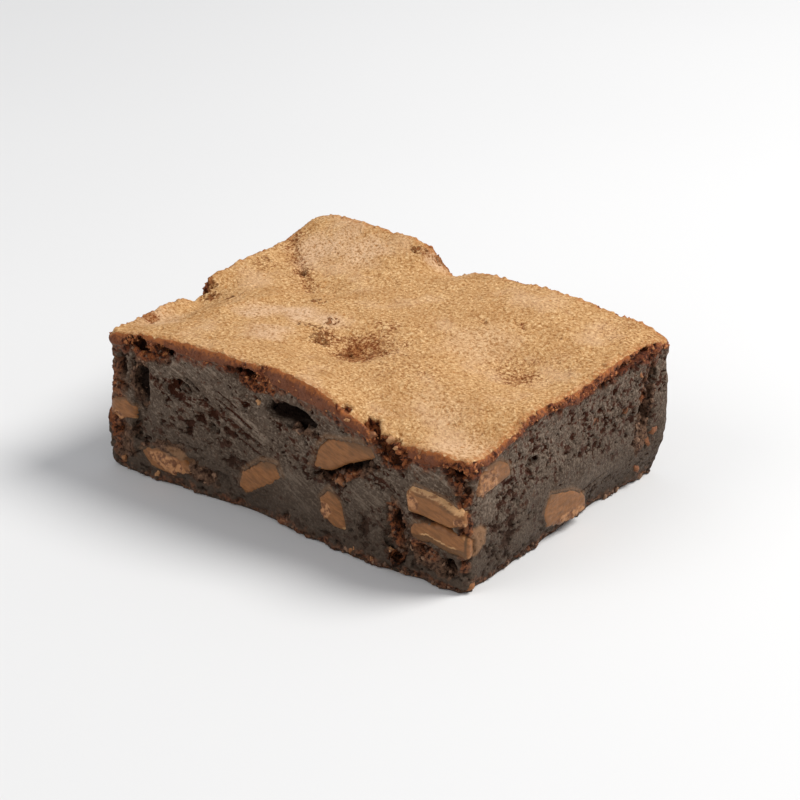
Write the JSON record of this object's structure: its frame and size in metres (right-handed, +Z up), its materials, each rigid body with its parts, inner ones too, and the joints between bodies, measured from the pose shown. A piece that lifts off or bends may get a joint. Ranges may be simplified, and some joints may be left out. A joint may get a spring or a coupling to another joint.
{
  "type": "chocolate brownie",
  "caption": "Cut oblong of dense chocolate brownie with a thin tan crust, an uneven top and chopped milk chocolate showing in its cut sides.",
  "frame": {"origin": "middle of the underside, at the centre of the whole part's bounding box", "axes": "+Z up out of the crust, +X along the long side; the long side seen in the picture faces -Y and the short one +X"},
  "size_m": [0.0818, 0.0608, 0.0317],
  "materials": {
    "cake": null,
    "milk_chocolate": "cut milk chocolate, waxy, with a soft low sheen"
  },
  "bodies": {
    "root": {"brownie": "cake", "chocolate_back_1": "milk_chocolate", "chocolate_back_2": "milk_chocolate", "chocolate_back_3": "milk_chocolate", "chocolate_back_4": "milk_chocolate", "chocolate_back_5": "milk_chocolate", "chocolate_corner": "milk_chocolate", "chocolate_front_1": "milk_chocolate", "chocolate_front_2": "milk_chocolate", "chocolate_front_3": "milk_chocolate", "chocolate_front_4": "milk_chocolate", "chocolate_front_5": "milk_chocolate", "chocolate_front_6": "milk_chocolate", "chocolate_left_1": "milk_chocolate", "chocolate_left_2": "milk_chocolate", "chocolate_left_3": "milk_chocolate", "chocolate_right_1": "milk_chocolate", "chocolate_right_2": "milk_chocolate"}
  },
  "joints": []
}
